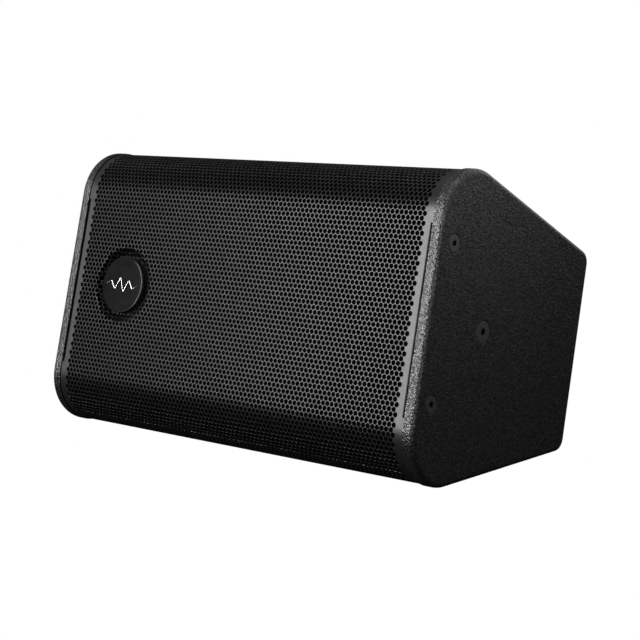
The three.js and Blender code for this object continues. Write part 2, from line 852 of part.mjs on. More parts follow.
const nutHexagon = post(6.4, badgeFloor + SHEET + 0.5, badgeFloor + SHEET + 4.5, 6);
const nutBore = post(STUD + GAP, 0, 30, SMALL_ROUND);
const atBadge = (geometry) => moved(geometry, BADGE_X, 0, 0);
add("badge_disc", atBadge(turned(badgeDisc)), plastic);
add("badge_washer", atBadge(turned(badgeWasher, SMALL_ROUND)), bareSteel);
add("badge_emblem", atBadge(waveEmblem()), chrome);
add("badge_nut", atBadge(cut(nutHexagon, nutBore)), bareSteel);

// ---------------------------------------------------------------- input plate and sockets
const SOCKET = { flangeX: 13, flangeZ: 15.5, proud: 2, body: 11.8, bore: 10, hollow: 18, length: 26 };
const socketPlaces = [
  ["in", -1],
  ["out", 1],
].map(([word, sign]) => ({ word, x: INPUT_X + (sign * SOCKET_SPACING) / 2 }));

const inputPlate = cut(
  box(
    INPUT_X - plateHalf,
    INPUT_X + plateHalf,
    plateBack,
    DEPTH,
    -plateHalfHeight,
    plateHalfHeight,
  ),
  ...socketPlaces.map(({ x }) => moved(post(SOCKET.body + GAP, 200, 250, 24), x, 0, 0)),
  ...plateScrewPlaces.map(({ x, z }) => moved(post(2.3, 200, 250, 8), x, 0, z)),
);
add("input_plate", inputPlate, blackSteel);

function speakerSocket() {
  const flange = box(
    -SOCKET.flangeX,
    SOCKET.flangeX,
    DEPTH + GAP,
    DEPTH + GAP + SOCKET.proud,
    -SOCKET.flangeZ,
    SOCKET.flangeZ,
  );
  const front = DEPTH + GAP + SOCKET.proud;
  const body = post(SOCKET.body, front - SOCKET.length, front - 1, 24);
  return cut(join(flange, body), post(SOCKET.bore, front - SOCKET.hollow, front + 1, 24));
}

for (const { word, x } of socketPlaces) {
  add(`speaker_socket_${word}`, moved(speakerSocket(), x, 0, 0), plastic);
}

// Pan-head screws that enter the plate from the rear.
plateScrewPlaces.forEach(({ x, z }, i) => {
  const screw = panScrew(3.6, 1.7, 0, 15).rotateX(Math.PI);
  add(
    `input_plate_screw_${i + 1}`,
    screw.translate(x, DEPTH + GAP + 3.6 * 0.6, z),
    screwSteel,
  );
});

// ---------------------------------------------------------------- damping wadding
// A soft slab glued under the top panel, over the woofer.
const WADDING = { from: 40, to: 185, thickness: 20, x0: -200, x1: 4 };
const waddingNear = pastBend(PLY + GAP, WADDING.from - REBATE_LENGTH);
const waddingFar = pastBend(PLY + GAP, WADDING.to - REBATE_LENGTH);
const drop = new THREE.Vector2(-SIN, -COS).multiplyScalar(WADDING.thickness);
add(
  "damping_wadding",
  extrudeAlongX(
    [waddingNear, waddingFar, waddingFar.clone().add(drop), waddingNear.clone().add(drop)],
    WADDING.x0,
    WADDING.x1,
  ),
  wadding,
);

// ---------------------------------------------------------------- crossover on the bottom panel
// Built level, in the part's own frame, because the bottom panel lies flat on the floor.
const CROSSOVER = { x0: 48, x1: 188, y0: -2, y1: 84, z: PLY + GAP, legs: 6, board: 1.6 };
const boardTop = CROSSOVER.z + CROSSOVER.legs + CROSSOVER.board;
const leg = box(-4, 4, -4, 4, CROSSOVER.z, boardTop - 0.5);
const legs = [CROSSOVER.x0 + 8, CROSSOVER.x1 - 8].flatMap((x) =>
  [CROSSOVER.y0 + 8, CROSSOVER.y1 - 8].map((y) => moved(leg, x, y, 0)),
);
const boardSlab = box(
  CROSSOVER.x0,
  CROSSOVER.x1,
  CROSSOVER.y0,
  CROSSOVER.y1,
  boardTop - CROSSOVER.board,
  boardTop,
);
add("crossover_board", join(boardSlab, ...legs), board, part);

const inductorBase = boardTop + GAP;
const inductor = turned(
  [
    [11, inductorBase],
    [27, inductorBase],
    [27, inductorBase + 20],
    [11, inductorBase + 20],
  ],
  24,
).rotateX(Math.PI / 2);
add("lf_inductor", moved(inductor, 84, 42, 0), copper, part);

const capacitorRadius = 11;
const capacitor = new THREE.CylinderGeometry(capacitorRadius, capacitorRadius, 46, SMALL_ROUND);
capacitor.translate(140, 48, boardTop + GAP + capacitorRadius);
add("capacitor", capacitor, plastic, part);
add("resistor", box(164, 174, 18, 66, boardTop + GAP, boardTop + GAP + 10), ferrite, part);

// ---------------------------------------------------------------- leads inside the cabinet
// Each runs along hand-placed points in the baffle frame.
function lead(points, radius = 2.2) {
  const path = new THREE.CatmullRomCurve3(points.map((p) => new THREE.Vector3(...p)));
  const section = new THREE.Shape().absarc(0, 0, radius, 0, 2 * Math.PI, false);
  const corners = new THREE.Shape(section.getSpacedPoints(6).slice(0, 6));
  return new THREE.ExtrudeGeometry(corners, { extrudePath: path, steps: 12, bevelEnabled: false });
}

const wooferLead = [
  [60, 150, -68],
  [45, 150, -52],
  [18, 145, -40],
  [-12, 128, -34],
  [-30, 100, -30],
  [-36, 70, -24],
];
const driverLead = [
  [128, 152, -72],
  [124, 166, -60],
  [118, 168, -40],
  [HORN_X, 162, -20],
  [HORN_X, 151, -12],
];
const inputLead = [
  [INPUT_X + 22, 215, 0],
  [-50, 205, -10],
  [-20, 195, -25],
  [18, 185, -38],
  [44, 180, -56],
  [58, 178, -66],
];
add("woofer_lead", lead(wooferLead), cable);
add("driver_lead", lead(driverLead), cable);
add("input_lead", lead(inputLead), cable);

export default part;
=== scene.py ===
"""Looks of the floor monitor wedge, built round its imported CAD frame. Blender 4.5.

Most pieces are built in the baffle frame, in millimetres: x runs along the cabinet, y is the
depth behind the front plane and z is the height along the baffle, from the mid line. A piece is
moved into the model's own frame, in metres, once its mesh is made.
"""

import json
import math

import bmesh
import bpy
import numpy as np
from mathutils import Matrix, Vector


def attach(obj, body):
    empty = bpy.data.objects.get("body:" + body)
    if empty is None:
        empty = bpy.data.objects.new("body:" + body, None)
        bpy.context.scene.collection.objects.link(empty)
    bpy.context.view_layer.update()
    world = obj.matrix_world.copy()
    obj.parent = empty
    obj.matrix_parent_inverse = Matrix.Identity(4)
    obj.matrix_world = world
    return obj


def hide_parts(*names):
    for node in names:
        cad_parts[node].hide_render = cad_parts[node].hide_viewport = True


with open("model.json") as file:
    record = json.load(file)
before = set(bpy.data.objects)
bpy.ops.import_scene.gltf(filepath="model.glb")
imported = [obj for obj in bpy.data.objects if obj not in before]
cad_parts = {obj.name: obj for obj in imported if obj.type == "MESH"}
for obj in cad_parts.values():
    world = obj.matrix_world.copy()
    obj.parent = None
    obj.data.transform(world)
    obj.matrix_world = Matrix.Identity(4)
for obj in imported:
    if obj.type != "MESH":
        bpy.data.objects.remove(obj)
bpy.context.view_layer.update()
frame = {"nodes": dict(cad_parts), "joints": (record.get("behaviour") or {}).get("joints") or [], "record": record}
nodes = frame["nodes"]
joints = {joint["name"]: joint for joint in frame["joints"]}

# ------------------------------------------------------------------ dimensions, as in the CAD
HALF = 230.0
INNER_HALF = 218.0
FRONT_HEIGHT = 304.0
REAR_HEIGHT = 188.0
DEPTH = 242.0
FRONT_RADIUS = 48.0
REAR_RADIUS = 13.0
PLY = 12.0
EDGE_ROUND = 5.0
REBATE = 2.8
REBATE_LENGTH = 8.0
BAFFLE_BACK = 41.0

GRILLE_INSET = 1.0
SHEET = 1.2
HOLE_PITCH = 5.0
HOLE_RADIUS = 2.4  # at the front face, matched to the photo and not measured
HOLE_RIM = 0.13  # the broken rim, which narrows the hole behind the face
HOLE_ROWS = 40  # on each side of the middle row
HOLES_IN_LONG_ROW = 84
FOLD_HALF = 83.71  # the side folds stop short of the bends
FOLD_RADIUS = 1.2
FOLD_EDGE = 216.2
SHEET_EDGE = 217.6
FLANGE_DEPTH = 24.0

BADGE_X = -149.0
BADGE_RADIUS = 28.4
DISH_RADIUS = 37.4
DISH_SLOPE = 7.4
DISH_DEPTH = 5.2

INPUT_X = -95.0
SOCKET_X = (INPUT_X - 22.0, INPUT_X + 22.0)

TILT = math.atan((FRONT_HEIGHT - REAR_HEIGHT) / 2 / DEPTH)
SIN, COS = math.sin(TILT), math.cos(TILT)
ARC_Z = FRONT_HEIGHT / 2 - FRONT_RADIUS * (1 + SIN) / COS
TANGENT = math.pi / 2 - TILT  # angle at which the front bend meets the sloped side

# ------------------------------------------------------------------ baffle frame to model frame
badge_hinge = joints["badge_turn"]
back_axis = -Vector(badge_hinge["axis"]).normalized()
up_axis = Vector((1, 0, 0)).cross(back_axis)
to_model = Matrix(
    (
        (1, back_axis.x, up_axis.x, 0),
        (0, back_axis.y, up_axis.y, badge_hinge["pos_m"][1] * 1000),
        (0, back_axis.z, up_axis.z, badge_hinge["pos_m"][2] * 1000),
        (0, 0, 0, 1),
    )
)
to_model = Matrix.Scale(0.001, 4) @ to_model


# ------------------------------------------------------------------ node material helpers
class Shader:
    """A Principled material with short calls for the nodes that vary its surface."""

    def __init__(self, name, **values):
        self.material = bpy.data.materials.new(name)
        self.material.use_nodes = True
        self.tree = self.material.node_tree
        self.surface = self.tree.nodes["Principled BSDF"]
        turned = self.node("ShaderNodeMapping")
        turned.inputs["Rotation"].default_value = (0.6, 0.4, 0.9)
        self.upright = self.node("ShaderNodeTexCoord").outputs["Object"]
        self.link(self.upright, turned.inputs["Vector"])
        self.place = turned.outputs[0]  # off the axes, so that no grain lines up with a face
        for socket, value in values.items():
            self.surface.inputs[socket.replace("_", " ")].default_value = value

    def node(self, kind, **settings):
        node = self.tree.nodes.new(kind)
        for key, value in settings.items():
            setattr(node, key, value)
        return node

    def link(self, source, target):
        self.tree.links.new(source, target)

    def noise(self, scale, detail=2.0, rough=0.5, place=None):
        node = self.node("ShaderNodeTexNoise")
        node.inputs["Scale"].default_value = scale
        node.inputs["Detail"].default_value = detail
        node.inputs["Roughness"].default_value = rough
        self.link(place or self.place, node.inputs["Vector"])
        return node.outputs["Fac"]

    def cells(self, scale, feature="SMOOTH_F1"):
        node = self.node("ShaderNodeTexVoronoi", feature=feature)
        node.inputs["Scale"].default_value = scale
        self.link(self.place, node.inputs["Vector"])
        return node.outputs["Distance"]

    def spread(self, value, low, high, from_low=0.0, from_high=1.0):
        node = self.node("ShaderNodeMapRange")
        for key, number in zip((1, 2, 3, 4), (from_low, from_high, low, high)):
            node.inputs[key].default_value = number
        self.link(value, node.inputs[0])
        return node.outputs[0]

    def add(self, first, second, share=1.0):
        node = self.node("ShaderNodeMath", operation="MULTIPLY_ADD")
        self.link(second, node.inputs[0])
        node.inputs[1].default_value = share
        self.link(first, node.inputs[2])
        return node.outputs[0]

    def colours(self, value, *stops):
        node = self.node("ShaderNodeValToRGB")
        ramp = node.color_ramp
        while len(ramp.elements) < len(stops):
            ramp.elements.new(0.5)
        for element, (at, colour) in zip(ramp.elements, stops):
            element.position = at
            element.color = (*colour, 1)
        self.link(value, node.inputs[0])
        return node.outputs[0]

    def stretched(self, x, y, z):
        node = self.node("ShaderNodeMapping")
        node.inputs["Scale"].default_value = (x, y, z)
        self.link(self.upright, node.inputs["Vector"])
        return node.outputs[0]

    def colour(self, value, *stops):
        self.link(self.colours(value, *stops), self.surface.inputs["Base Color"])

    def rough(self, value, low, high):
        self.link(self.spread(value, low, high), self.surface.inputs["Roughness"])

    def bump(self, height, depth, strength=1.0):
        """depth is the height of the relief in metres."""
        node = self.node("ShaderNodeBump")
        node.inputs["Strength"].default_value = strength
        node.inputs["Distance"].default_value = depth
        self.link(height, node.inputs["Height"])
        self.link(node.outputs["Normal"], self.surface.inputs["Normal"])


def grey(value):
    return (value, value, value)


def textured_paint():
    """Fine-grained hard-wearing paint: matt black with a shallow random relief."""
    shader = Shader("textured_paint", Specular_IOR_Level=0.85)
    grain = shader.noise(620, 1.5, 0.5)
    peel = shader.noise(300, 1.0)
    relief = shader.add(grain, peel, 0.1)
    shader.bump(relief, 0.0008)
    shader.rough(shader.noise(520, 1.0), 0.12, 0.34)
    shader.colour(shader.noise(400, 1.0), (0.4, grey(0.0125)), (0.6, grey(0.0265)))
    return shader.material


def powder_coat():
    """Semi-gloss black powder coat on steel, with its faint orange peel."""
    shader = Shader("powder_coat", Specular_IOR_Level=0.6)
    shader.bump(shader.noise(900, 1.0), 0.00001)
    shader.rough(shader.noise(260, 3.0), 0.3, 0.4)
    shader.colour(shader.noise(40, 3.0), (0.3, grey(0.012)), (0.7, grey(0.019)))
    return shader.material


def black_oxide():
    shader = Shader("black_oxide_steel", Metallic=0.1, Specular_IOR_Level=0.5)
    wear = shader.noise(420, 4.0, 0.65)
    shader.rough(wear, 0.36, 0.55)
    shader.colour(wear, (0.3, grey(0.032)), (0.75, grey(0.05)))
    shader.bump(shader.noise(2600, 2.0), 0.00001)
    return shader.material


# Painted shade: a near-black matt material for the inside of the screws' hexagon sockets, darker than the screw's
# own finish.
def socket_painted_shade():
    shader = Shader("socket_painted_shade", Specular_IOR_Level=0.2)
    shader.colour(shader.noise(500, 2.0), (0.3, grey(0.002)), (0.7, grey(0.006)))
    shader.rough(shader.noise(800), 0.6, 0.8)
    return shader.material


def badge_face():
    shader = Shader("badge_face", Specular_IOR_Level=0.3)
    shader.colour(shader.noise(90, 3.0), (0.3, grey(0.011)), (0.7, grey(0.015)))
    shader.rough(shader.noise(180, 3.0), 0.1, 0.15)
    shader.bump(shader.noise(3000, 1.0), 0.00001)
    return shader.material


def bright_metal():
    shader = Shader("bright_metal", Metallic=1.0)
    shader.colour(shader.noise(300, 2.0), (0.3, grey(0.72)), (0.7, grey(0.82)))
    shader.rough(shader.noise(900, 3.0), 0.07, 0.16)
    return shader.material


def satin_metal(name, colour, low=0.28, high=0.46):
    shader = Shader(name, Metallic=1.0)
    darker = tuple(0.78 * c for c in colour)
    shader.colour(shader.noise(160, 4.0, 0.6), (0.3, darker), (0.7, colour))
    shader.rough(shader.noise(420, 3.0), low, high)
    shader.bump(shader.noise(1500, 3.0), 0.00003)
    return shader.material


def moulded_plastic():
    """Satin black plastic with a fine spark-eroded grain."""
    shader = Shader("moulded_plastic", Specular_IOR_Level=0.45)
    shader.colour(shader.noise(60, 3.0), (0.3, grey(0.010)), (0.7, grey(0.015)))
    shader.rough(shader.noise(500), 0.38, 0.5)
    shader.bump(shader.noise(2200, 2.0), 0.00004)
    return shader.material


def open_foam():
    shader = Shader("open_cell_foam", Roughness=1.0, Specular_IOR_Level=0.1)
    pores = shader.cells(1100)
    shader.colour(pores, (0.2, grey(0.0015)), (0.7, grey(0.006)))
    shader.bump(pores, 0.0006)
    return shader.material


def soft_black(name, low, high, scale, relief, shine=0.35):
    shader = Shader(name, Specular_IOR_Level=shine)
    grain = shader.noise(scale, 4.0, 0.6)
    shader.colour(grain, (0.3, grey(low)), (0.7, grey(high)))
    shader.rough(grain, 0.6, 0.85)
    shader.bump(grain, relief)
    return shader.material


def bare_plywood():
    """Birch plies seen edge on, with long grain across them."""
    shader = Shader("bare_plywood", Specular_IOR_Level=0.3)
    plies = shader.node("ShaderNodeTexWave", bands_direction="X")
    plies.inputs["Scale"].default_value = 110
    plies.inputs["Distortion"].default_value = 0.6
    shader.link(shader.upright, plies.inputs["Vector"])
    grain = shader.noise(30, 5.0, 0.6, shader.stretched(12, 1, 1))
    mixed = shader.add(plies.outputs["Fac"], grain, 0.8)
    shader.colour(mixed, (0.2, (0.24, 0.14, 0.07)), (0.9, (0.56, 0.4, 0.23)))
    shader.rough(grain, 0.6, 0.8)
    shader.bump(grain, 0.0003)
    return shader.material


def wound_copper():
    shader = Shader("wound_copper", Metallic=1.0)
    turns = shader.node("ShaderNodeTexWave", bands_direction="Z")
    turns.inputs["Scale"].default_value = 260
    shader.link(shader.upright, turns.inputs["Vector"])
    turn = turns.outputs["Fac"]
    shader.colour(turn, (0.1, (0.2, 0.06, 0.02)), (0.8, (0.75, 0.33, 0.15)))
    shader.rough(turn, 0.25, 0.4)
    shader.bump(turn, 0.0004)
    return shader.material


def fibre_wadding():
    shader = Shader("fibre_wadding", Roughness=1.0, Specular_IOR_Level=0.1)
    fibres = shader.noise(260, 6.0, 0.75, shader.stretched(1, 3, 3))
    shader.colour(fibres, (0.3, (0.42, 0.41, 0.37)), (0.7, (0.72, 0.71, 0.66)))
    shader.bump(fibres, 0.003)
    return shader.material


PAINT = textured_paint()
COAT = powder_coat()
OXIDE = black_oxide()
SOCKET = socket_painted_shade()
BADGE = badge_face()
CHROME = bright_metal()
# Painted shade: the walls inside the grille's holes get this near-black matt material so that they read as shaded.
HOLE_WALL_PAINTED_SHADE = soft_black("hole_wall_painted_shade", 0.002, 0.005, 900, 0.00001, 0.1)
ZINC = satin_metal("zinc_plated_steel", (0.6, 0.6, 0.58))
ALUMINIUM = satin_metal("cast_aluminium", (0.42, 0.43, 0.44), 0.35, 0.55)
PLASTIC = moulded_plastic()
SLOT_MATERIALS = {
    "cabinet_paint": PAINT,
    "bare_plywood": bare_plywood(),
    "black_powder_coat": COAT,
    "acoustic_foam": open_foam(),
    "black_screw_steel": OXIDE,
    "plated_steel": ZINC,
    "badge_grey": BADGE,
    "bright_chrome": CHROME,
    "cast_aluminium": ALUMINIUM,
    "black_rubber": soft_black("black_rubber", 0.010, 0.018, 700, 0.0001),
    "treated_paper": soft_black("treated_paper", 0.012, 0.028, 320, 0.0005),
    "copper_wire": wound_copper(),
    "ferrite_ceramic": soft_black("ferrite_ceramic", 0.03, 0.06, 480, 0.0001),
    "black_plastic": PLASTIC,
    "white_wadding": fibre_wadding(),
    "cable_jacket": soft_black("cable_jacket", 0.012, 0.02, 900, 0.00005),
}


# ------------------------------------------------------------------ mesh helpers
def piece(name, mesh, materials, body="cabinet", replaces=(), sharp=32.0):
    """Links a finished mesh as a smooth-shaded piece with its hard edges marked."""
    for material in materials:
        mesh.materials.append(material)
    grid = bmesh.new()
    grid.from_mesh(mesh)
    limit = math.radians(sharp)
    for face in grid.faces:
        face.smooth = True
    for edge in grid.edges:
        edge.smooth = edge.calc_face_angle(0.0) < limit
    grid.to_mesh(mesh)
    grid.free()
    made = bpy.data.objects.new(name, mesh)
    bpy.context.scene.collection.objects.link(made)
    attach(made, body)
    if replaces:
        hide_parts(*replaces)
    return made


def mesh_of(name, points, faces, spots=None):
    """A mesh from baffle-frame points, moved to the model frame. spots are material indices."""
    mesh = bpy.data.meshes.new(name)
    mesh.from_pydata([tuple(p) for p in points], [], faces)
    if spots is not None:
        mesh.polygons.foreach_set("material_index", spots)
    mesh.transform(to_model)
    mesh.update()
    return mesh


def rings_to_faces(ring_count, size, start=0, closed_ends=(True, True), loop=False):
    """Faces over a stack of rings, with an n-gon on each closed end."""
    faces = []
    bands = ring_count if loop else ring_count - 1
    for band in range(bands):
        low = start + band * size
        high = start + (band + 1) % ring_count * size
        for i in range(size):
            j = (i + 1) % size
            faces.append((low + i, low + j, high + j, high + i))
    if closed_ends[0] and not loop:
        faces.append(tuple(range(start + size - 1, start - 1, -1)))
    if closed_ends[1] and not loop:
        last = start + (ring_count - 1) * size
        faces.append(tuple(range(last, last + size)))
    return faces


def outward(mesh):
    """Turns all faces outwards."""
    grid = bmesh.new()
    grid.from_mesh(mesh)
    bmesh.ops.recalc_face_normals(grid, faces=grid.faces)
    grid.to_mesh(mesh)
    grid.free()
    return mesh


def lofted(name, rings, loop=False, ends=(True, True)):
    faces = rings_to_faces(len(rings), len(rings[0]), closed_ends=ends, loop=loop)
    return outward(mesh_of(name, [p for ring in rings for p in ring], faces))


def circle(radius, y, x=0.0, z=0.0, count=64):
    """A ring about the depth axis."""
    return [
        (
            x + radius * math.cos(2 * math.pi * i / count),
            y,
            z + radius * math.sin(2 * math.pi * i / count),
        )
        for i in range(count)
    ]


def side_circle(radius, depth, side, y, z, count=48):
    """A ring about x, at a depth below an end panel's outer face."""
    x = side * (HALF - depth)
    return [(x, y + a, z + b) for a, _, b in circle(radius, 0, count=count)]


def hexagon(across, depth, side, y, z, count=48):
    """A hexagonal ring about x with as many points as the round rings."""
    points = []
    for i in range(count):
        angle = 2 * math.pi * i / count
        off = (angle + math.pi / 6) % (math.pi / 3) - math.pi / 6
        radius = across / 2 / math.cos(off)
        points.append(
            (
                side * (HALF - depth),
                y + radius * math.cos(angle),
                z + radius * math.sin(angle),
            )
        )
    return points


def rounded_ring(x, half_x, half_z, corner, y, inset=0.0, steps=11):
    """A rectangle with round corners about the depth axis, drawn in by the inset."""
    points = []
    radius = max(corner - inset, 0.05)
    for quarter, (sx, sz) in enumerate(((1, 1), (-1, 1), (-1, -1), (1, -1))):
        for i in range(steps + 1):
            angle = math.pi / 2 * (quarter + i / steps)
            points.append(
                (
                    x + sx * (half_x - corner) + radius * math.cos(angle),
                    y,
                    sz * (half_z - corner) + radius * math.sin(angle),
                )
            )
    return points


def even_ring(radius, y, x, z=0.0, across=None, steps=11):
    """A circle, or a hexagon of the given width, that pairs with a rounded ring."""
    count = 4 * (steps + 1)
    points = []
    for i in range(count):
        angle = 2 * math.pi * (i + 0.5) / count
        if across:
            off = (angle + math.pi / 6) % (math.pi / 3) - math.pi / 6
            radius = across / 2 / math.cos(off)
        points.append((x + radius * math.cos(angle), y, z + radius * math.sin(angle)))
    return points


def slab(x0, x1, y0, y1, z0, z1):
    """A plain box for cutting."""
    ends = [[(x, y, z) for y, z in ((y0, z0), (y1, z0), (y1, z1), (y0, z1))] for x in (x0, x1)]
    return lofted("slab", ends)


def boolean(mesh, *cutters):
    """Cuts the cutter meshes from a mesh and gives the result as a new mesh."""
    whole = bpy.data.objects.new("whole", mesh)
    bpy.context.scene.collection.objects.link(whole)
    tools = []
    for cutter in cutters:
        tool = bpy.data.objects.new("cutter", cutter)
        bpy.context.scene.collection.objects.link(tool)
        tools.append(tool)
        step = whole.modifiers.new("cut", "BOOLEAN")
        step.operation = "DIFFERENCE"
        step.solver = "EXACT"
        step.object = tool
    bpy.context.view_layer.update()
    ready = whole.evaluated_get(bpy.context.evaluated_depsgraph_get())
    result = bpy.data.meshes.new_from_object(ready)
    for thing in [whole, *tools]:
        bpy.data.objects.remove(thing)
    return result


def keep_flats(made):
    """Lets the large flat faces decide the normals of their smooth edges."""
    step = made.modifiers.new("flats", "WEIGHTED_NORMAL")
    step.keep_sharp = True
    step.weight = 100
    return made


# ------------------------------------------------------------------ cabinet section
def slope_z(inset, y):
    return FRONT_HEIGHT / 2 - (inset + y * SIN) / COS


def front_bend(inset, start, end, steps):
    radius = FRONT_RADIUS - inset
    angles = [start + (end - start) * i / steps for i in range(steps + 1)]
    return [
        (FRONT_RADIUS + radius * math.cos(a), ARC_Z + radius * math.sin(a))
        for a in angles
    ]


def rear_bend(inset, steps=8):
    y = DEPTH - REAR_RADIUS
    z = slope_z(REAR_RADIUS, y)
    radius = REAR_RADIUS - inset
    angles = [TANGENT * (1 - i / steps) for i in range(steps + 1)]
    return [(y + radius * math.cos(a), z + radius * math.sin(a)) for a in angles]


def past_bend(inset, distance):
    y, z = front_bend(inset, TANGENT, TANGENT, 1)[0]
    return y + distance * COS, z - distance * SIN


def mirrored(points):
    return [(y, -z) for y, z in reversed(points)]


def outline(inset):
    upper = front_bend(inset, math.pi, TANGENT, 28) + rear_bend(inset)
    return upper + mirrored(upper)


# ------------------------------------------------------------------ end panels and their screws
SMALL_SCREW = {"y": 19.7, "head": 7.8, "cone": 4.0, "hexagon": 5.0}
LARGE_SCREW = {"y": 81.3, "head": 10.0, "cone": 5.2, "hexagon": 6.0}
SCREW_PLACES = (
    ("grille_screw", "_upper", SMALL_SCREW, 69.3),
    ("grille_screw", "_lower", SMALL_SCREW, -69.3),
    ("rigging_screw", "", LARGE_SCREW, 0.0),
)


def end_panel(side):
    levels = [(INNER_HALF, 0.0)]
    for i in range(7):
        angle = math.pi / 2 * i / 6
        levels.append(
            (
                HALF - EDGE_ROUND * (1 - math.sin(angle)),
                EDGE_ROUND * (1 - math.cos(angle)),
            )
        )
    levels.append((HALF, EDGE_ROUND + 2))
    rings = [[(side * x, y, z) for y, z in outline(inset)] for x, inset in levels]
    panel = lofted("end_panel", rings)
    cutters = []
    for _, _, screw, z in SCREW_PLACES:
        profile = [
            (screw["head"] + 1.1, -1.0),
            (screw["head"] + 0.9, 0.0),
            (screw["head"] + 0.55, 0.25),
            (screw["head"] + 0.5, 1.0),
            (screw["cone"] + 0.6, 4.6),
            (screw["cone"] + 0.6, 13.0),
        ]
        rings = [side_circle(r, d, side, screw["y"], z) for r, d in profile]
        cutters.append(lofted("countersink", rings))
    return boolean(panel, *cutters)


def countersunk_screw(side, screw, z):
    """Head with a chamfered rim, a hexagon socket and its shank."""
    y, head = screw["y"], screw["head"]
    across = screw["hexagon"]
    rings = [
        side_circle(screw["cone"], 12.5, side, y, z),
        side_circle(screw["cone"], 4.8, side, y, z),
        side_circle(head, 0.95, side, y, z),
        side_circle(head, 0.55, side, y, z),
        side_circle(head - 0.35, 0.2, side, y, z),
        hexagon(across + 1.0, 0.2, side, y, z),
        hexagon(across + 0.1, 0.5, side, y, z),
        hexagon(across, 3.4, side, y, z),
    ]
    mesh = lofted("screw", rings)
    count = 48
    # Painted shade: the walls and floor of the hexagon recess take material 1, the near-black socket material.
    spots = [0] * len(mesh.polygons)
    for index, face in enumerate(mesh.polygons):
        if all(v // count >= 6 for v in face.vertices):
            spots[index] = 1
    mesh.polygons.foreach_set("material_index", spots)
    return mesh


for word, side in (("left", -1), ("right", 1)):
    node = f"end_panel_{word}"
    panel = piece(
        f"{node}_painted", end_panel(side), [PAINT], replaces=[node]
    )
    keep_flats(panel)
    for kind, place, screw, z in SCREW_PLACES:
        node = f"{kind}_{word}{place}"
        piece(
            f"{node}_detailed",
            countersunk_screw(side, screw, z),
            [OXIDE, SOCKET],
            replaces=[node],
        )


# ------------------------------------------------------------------ sloped panels
def sloped_panel(name, lower):
    front = BAFFLE_BACK + 0.3
    start = math.acos((front - FRONT_RADIUS) / (FRONT_RADIUS - REBATE))
    section = [(front, slope_z(PLY, front))]
    section += front_bend(REBATE, start, TANGENT, 12)
    section += [past_bend(REBATE, REBATE_LENGTH), past_bend(0, REBATE_LENGTH)]
    section += rear_bend(0)
    section += [(DEPTH, slope_z(PLY, DEPTH))]
    if lower:
        section = mirrored(section)
    rings = [[(x, y, z) for y, z in section] for x in (-INNER_HALF, INNER_HALF)]
    return keep_flats(
        piece(
            f"{name}_painted",
            lofted(name, rings),
            [PAINT],
            replaces=[name],
        )
    )


sloped_panel("top_panel", lower=False)
sloped_panel("bottom_panel", lower=True)


# ------------------------------------------------------------------ perforated grille
def on_sheet(x, s, depth):
    """Baffle-frame points of the sheet. s runs along its section from the middle."""
    x, s, depth = (np.asarray(v, float) for v in (x, s, depth))
    across = np.abs(s)
    inset = GRILLE_INSET + depth
    turn = (across - ARC_Z) / (FRONT_RADIUS - GRILLE_INSET)
    angle = math.pi - np.clip(turn, 0, math.pi - TANGENT)
    past = np.clip(turn - (math.pi - TANGENT), 0, None) * (FRONT_RADIUS - GRILLE_INSET)
    radius = FRONT_RADIUS - inset
    y = FRONT_RADIUS + radius * np.cos(angle) + past * COS
    z = ARC_Z + radius * np.sin(angle) - past * SIN
    flat = across <= ARC_Z
    off = np.hypot(x - BADGE_X, s)
    share = np.clip((DISH_RADIUS - off) / DISH_SLOPE, 0, 1)
    dish = DISH_DEPTH * share * share * (3 - 2 * share)
    y = np.where(flat, inset + dish, y)
    z = np.where(flat, across, z) * np.where(s < 0, -1, 1)
    return np.column_stack([x, y, z])


class Sheet:
    """Gathers (x, s, depth) points and faces of the grille."""

    def __init__(self):
        self.points = []
        self.faces = []
        self.walls = []  # the faces inside the holes
        self.corners = {}

    def point(self, x, s, depth=0.0):
        self.points.append((x, s, depth))
        return len(self.points) - 1

    def corner(self, x, s, depth=0.0):
        """A point that neighbouring faces share."""
        key = (round(x * 20), round(s * 20), round(depth * 20))
        if key not in self.corners:
            self.corners[key] = self.point(x, s, depth)
        return self.corners[key]

    def cell(self, x, s, pierced):
        """One hexagon of sheet, with or without its hole."""
        reach = HOLE_PITCH / math.sqrt(3)
        hexagon_points = []
        for j in range(6):
            angle = math.radians(30 + 60 * j)
            hexagon_points.append(
                self.corner(x + reach * math.cos(angle), s + reach * math.sin(angle))
            )
        if not pierced:
            self.faces.append(tuple(hexagon_points))
            return
        rims = []
        narrow = HOLE_RADIUS - HOLE_RIM
        for radius, depth in ((HOLE_RADIUS, 0.0), (narrow, HOLE_RIM), (narrow, SHEET)):
            first = len(self.points)
            for i in range(12):
                angle = math.radians(30 * i)
                self.point(x + radius * math.cos(angle), s + radius * math.sin(angle), depth)
            rims.append([first + i for i in range(12)])
        rim = rims[0]
        for j in range(6):
            a, b = hexagon_points[j], hexagon_points[(j + 1) % 6]
            i0, i1, i2 = (1 + 2 * j) % 12, (2 + 2 * j) % 12, (3 + 2 * j) % 12
            self.faces += [(a, rim[i1], rim[i0]), (a, b, rim[i1]), (b, rim[i2], rim[i1])]
        for upper, lower in zip(rims, rims[1:]):
            for i in range(12):
                j = (i + 1) % 12
                self.faces.append((upper[i], upper[j], lower[j], lower[i]))
        self.walls += range(len(self.faces) - 12, len(self.faces))

    def strip(self, first, second):
        """Faces between two equally long lines of points."""
        for (a, b), (c, d) in zip(zip(first, first[1:]), zip(second, second[1:])):
            self.faces.append((a, b, d, c))


